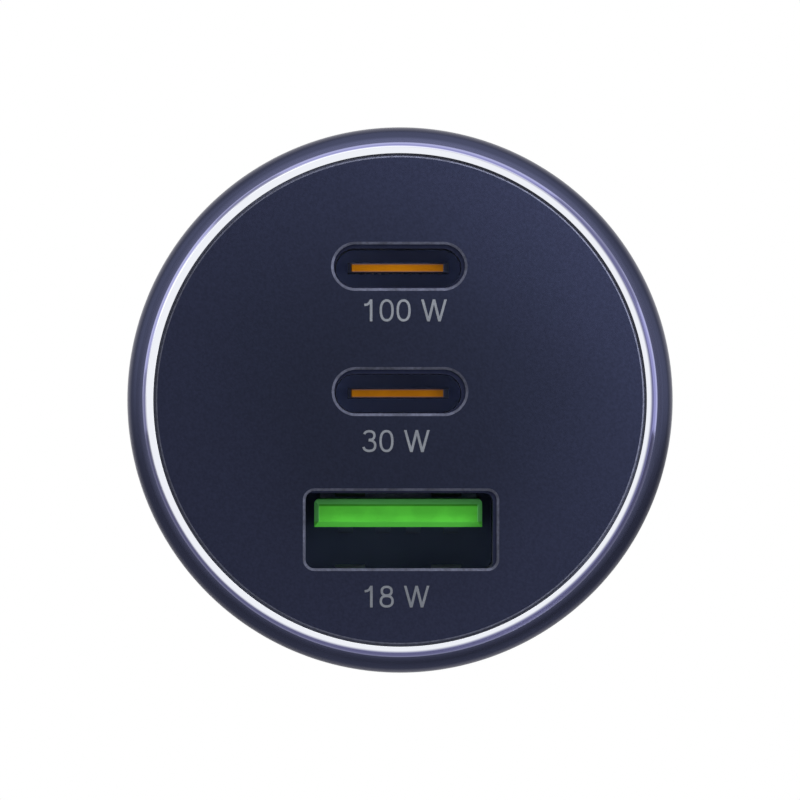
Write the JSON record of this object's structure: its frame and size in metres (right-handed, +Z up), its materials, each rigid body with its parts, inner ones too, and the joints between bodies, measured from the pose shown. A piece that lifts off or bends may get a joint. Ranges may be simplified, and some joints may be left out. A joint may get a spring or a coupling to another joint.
{
  "type": "car usb charger plug",
  "caption": "Round metal-headed car charger plug with USB-C and USB-A ports in its face, a barrel for a 12 V socket, a sprung tip and sprung side contacts.",
  "frame": {"origin": "on the plug's axis, at the shoulder that meets the socket's rim", "axes": "+Y along the axis towards the tip, the face looks along -Y, +Z up the face, +X to the right of the face"},
  "size_m": [0.036, 0.0745, 0.036],
  "materials": {
    "anodised_head": "dark anodised, with a bright-cut ring at the front",
    "face_plastic": "fine matt grain",
    "port_steel": "dark nickel plate",
    "orange_plastic": "plain moulded",
    "green_plastic": "plain moulded",
    "gilt_contact": "thin gold plate",
    "green_board": "solder mask",
    "carrier_plastic": "plain moulded",
    "inductor_grey": "pressed powder",
    "can_metal": "bright drawn can",
    "sleeve_blue": "shrunk sleeve",
    "ferrite": "painted ferrite",
    "copper_wire": "enamelled copper",
    "chip_black": "moulded package",
    "ceramic": "white ceramic with metal ends",
    "tinned_strip": "tinned",
    "barrel_plastic": "fine satin",
    "nickel": "bright nickel plate",
    "spring_steel": "drawn wire",
    "seat_brass": "turned"
  },
  "bodies": {
    "plug": {"housing_shell": "anodised_head", "face_plate": "face_plastic", "usb_c_upper_shell": "port_steel", "usb_c_upper_tongue": "orange_plastic", "usb_c_upper_contacts": "gilt_contact", "usb_c_lower_shell": "port_steel", "usb_c_lower_tongue": "orange_plastic", "usb_c_lower_contacts": "gilt_contact", "usb_a_shell": "port_steel", "usb_a_tongue": "green_plastic", "usb_a_contacts": "gilt_contact", "port_board": "green_board", "main_board": "green_board", "board_carrier": "carrier_plastic", "inductor_upper": "inductor_grey", "inductor_lower": "inductor_grey", "capacitor_upper": "can_metal", "capacitor_lower": "can_metal", "input_capacitor": "sleeve_blue", "choke_core": "ferrite", "choke_winding": "copper_wire", "power_switches": "chip_black", "controller_chips": "chip_black", "fuse": "ceramic", "surge_diode": "chip_black", "positive_lead": "tinned_strip", "ground_lead_left": "tinned_strip", "ground_lead_right": "tinned_strip", "plug_barrel": "barrel_plastic", "nose_cap": "barrel_plastic", "tip_spring": "spring_steel", "spring_seat": "seat_brass"},
    "tip": {"tip_contact": "nickel"},
    "contact_left": {"ground_contact_left": "nickel"},
    "contact_right": {"ground_contact_right": "nickel"}
  },
  "joints": [
    {"name": "tip_press", "type": "slide", "parent": "plug", "child": "tip", "axis": [0, -1, 0], "range_m": [0, 0.0025], "stiffness_N_per_m": 2400, "springref_m": -0.0016, "deforming": ["tip_spring"]},
    {"name": "contact_left_press", "type": "hinge", "parent": "plug", "child": "contact_left", "pos_m": [-0.00865, 0.0025, 0], "axis": [0, 0, -1], "range_deg": [0, 7.5], "stiffness_Nm_per_rad": 0.8, "springref_deg": -1.72},
    {"name": "contact_right_press", "type": "hinge", "parent": "plug", "child": "contact_right", "pos_m": [0.00865, 0.0025, 0], "axis": [0, 0, 1], "range_deg": [0, 7.5], "stiffness_Nm_per_rad": 0.8, "springref_deg": -1.72}
  ]
}
